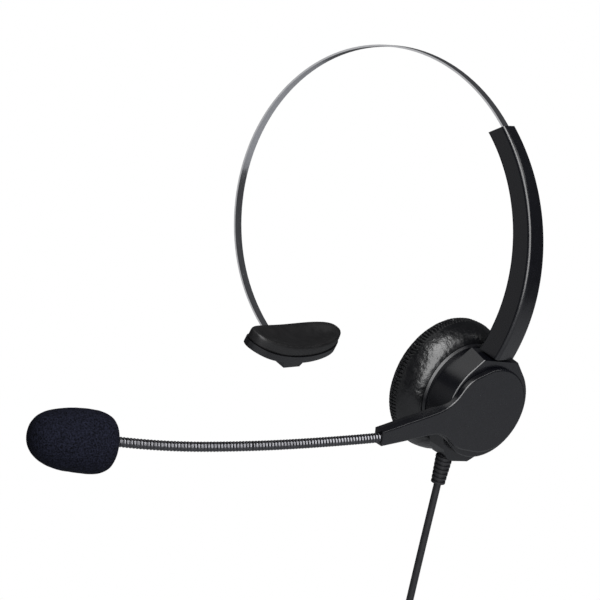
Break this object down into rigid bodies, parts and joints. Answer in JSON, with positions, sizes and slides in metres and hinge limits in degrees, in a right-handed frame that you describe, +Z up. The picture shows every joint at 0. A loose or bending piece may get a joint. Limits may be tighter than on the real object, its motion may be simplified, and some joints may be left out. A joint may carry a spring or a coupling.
{
  "type": "office headset",
  "caption": "One-ear office headset: steel headband with temple pad, sliding arm, tilting ear cup, swinging gooseneck microphone boom and corded plug.",
  "frame": {"origin": "the crown: the underside of the steel strip where it rests on the top of the head", "axes": "+Z up, +X towards the ear with the earphone, the wearer faces -Y"},
  "size_m": [0.1569, 0.2273, 0.3648],
  "materials": {
    "band_steel": "polished spring steel",
    "black_plastic": "fine moulded matt",
    "satin_plastic": "satin moulded",
    "pin_steel": "plated",
    "soft_rubber": "soft matt",
    "driver_frame": "painted",
    "magnet": "plated",
    "driver_cone": "film",
    "scrim_cloth": "woven",
    "leatherette": "glossy wrinkled",
    "circuit_board": "solder mask",
    "cord_jacket": "satin",
    "tie_strap": "matt",
    "plug_gold": "plated",
    "plug_insulator": "gloss",
    "gooseneck_metal": "black plated, ribbed",
    "foam": "open-cell foam"
  },
  "bodies": {
    "headband": {"headband_strip": "band_steel", "strip_end_stop": "black_plastic", "end_stop_rivets": "pin_steel", "temple_lug": "pin_steel"},
    "temple_pad": {"temple_carrier": "black_plastic", "temple_cushion": "soft_rubber", "temple_pin": "pin_steel"},
    "band_arm": {"arm_shell": "satin_plastic", "arm_cover": "satin_plastic", "arm_screw": "pin_steel", "detent_spring": "pin_steel", "cup_hinge_pin": "pin_steel"},
    "ear_cup": {"cup_housing": "satin_plastic", "cup_body": "black_plastic", "cup_screws": "pin_steel", "speaker_driver": "driver_frame", "speaker_magnet": "magnet", "speaker_cone": "driver_cone", "baffle_grille": "black_plastic", "scrim": "scrim_cloth", "ear_cushion": "leatherette", "terminal_board": "circuit_board", "strain_relief": "cord_jacket", "cord_lead": "cord_jacket", "cord_coil": "cord_jacket", "cord_tie": "tie_strap", "cord_tail": "cord_jacket", "plug_barrel": "cord_jacket", "plug_contacts": "plug_gold", "plug_insulators": "plug_insulator"},
    "boom": {"boom_plate": "satin_plastic", "boom_back_cover": "black_plastic", "boom_hub": "pin_steel", "hub_washer": "pin_steel", "hub_clip": "pin_steel", "gooseneck_root": "gooseneck_metal"},
    "neck_1": {"gooseneck_1": "gooseneck_metal"},
    "neck_2": {"gooseneck_2": "gooseneck_metal"},
    "neck_3": {"gooseneck_3": "gooseneck_metal", "mic_barrel": "black_plastic", "mic_capsule": "driver_frame", "windscreen": "foam"}
  },
  "joints": [
    {"name": "size_adjust", "type": "hinge", "parent": "headband", "child": "band_arm", "pos_m": [0, 0, -0.076], "axis": [0, 1, 0], "range_deg": [0, 22]},
    {"name": "temple_rock", "type": "hinge", "parent": "headband", "child": "temple_pad", "pos_m": [-0.04831, 0, -0.13261], "axis": [0, 1, 0], "range_deg": [-8, 8]},
    {"name": "cup_tilt", "type": "hinge", "parent": "band_arm", "child": "ear_cup", "pos_m": [0.06416, 0, -0.12261], "axis": [0, 1, 0], "range_deg": [-8, 8]},
    {"name": "boom_swing", "type": "hinge", "parent": "ear_cup", "child": "boom", "pos_m": [0.0597, -0.00305, -0.15104], "axis": [0.9196, -0.2123, -0.3305], "range_deg": [-54, 48]},
    {"name": "neck_bend_1", "type": "hinge", "parent": "boom", "child": "neck_1", "pos_m": [0.04137, -0.05834, -0.15868], "axis": [-0.322, 0.0744, -0.9438], "range_deg": [-20, 20]},
    {"name": "neck_bend_2", "type": "hinge", "parent": "neck_1", "child": "neck_2", "pos_m": [0.02912, -0.09494, -0.15895], "axis": [-0.322, 0.0744, -0.9438], "range_deg": [-20, 20]},
    {"name": "neck_bend_3", "type": "hinge", "parent": "neck_2", "child": "neck_3", "pos_m": [0.01482, -0.13078, -0.158], "axis": [-0.322, 0.0744, -0.9438], "range_deg": [-20, 20]}
  ],
  "couplings": [
    {"joint": "neck_bend_2", "follows": "neck_bend_1", "ratio": 1},
    {"joint": "neck_bend_3", "follows": "neck_bend_1", "ratio": 1}
  ]
}
